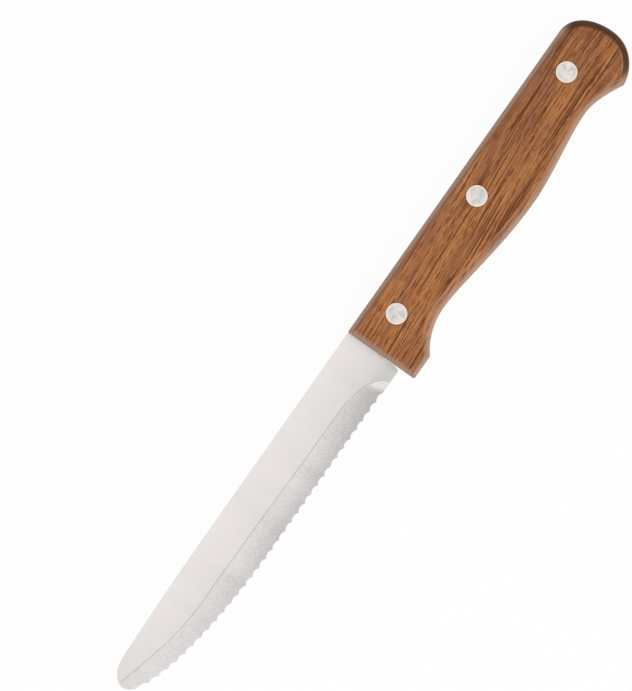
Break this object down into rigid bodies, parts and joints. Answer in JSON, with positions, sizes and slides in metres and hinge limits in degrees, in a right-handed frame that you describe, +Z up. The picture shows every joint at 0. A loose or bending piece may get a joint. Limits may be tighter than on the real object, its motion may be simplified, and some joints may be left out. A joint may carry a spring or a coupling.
{
  "type": "steak knife",
  "caption": "Round-tipped table knife with a scalloped, one-side ground steel blade riveted into a slotted hardwood handle with a guard and a hooked butt.",
  "frame": {"origin": "middle of the footprint of the knife lying on its side, on the surface under it", "axes": "+X from the tip to the butt, +Y from the edge to the spine, +Z up from the surface to the broad side that the picture shows"},
  "size_m": [0.215, 0.022, 0.014],
  "materials": {
    "blade_steel": "fine satin stainless steel, with cross-ground bevel",
    "handle_wood": "straight-grained mid-brown hardwood with dark pores, clear lacquer",
    "rivet_aluminium": "faced flush, fine turned rings"
  },
  "bodies": {
    "root": {"blade": "blade_steel", "handle": "handle_wood", "rivet_cap_front": "rivet_aluminium", "rivet_cap_middle": "rivet_aluminium", "rivet_cap_rear": "rivet_aluminium", "rivet_post_front": "rivet_aluminium", "rivet_post_middle": "rivet_aluminium", "rivet_post_rear": "rivet_aluminium"}
  },
  "joints": []
}
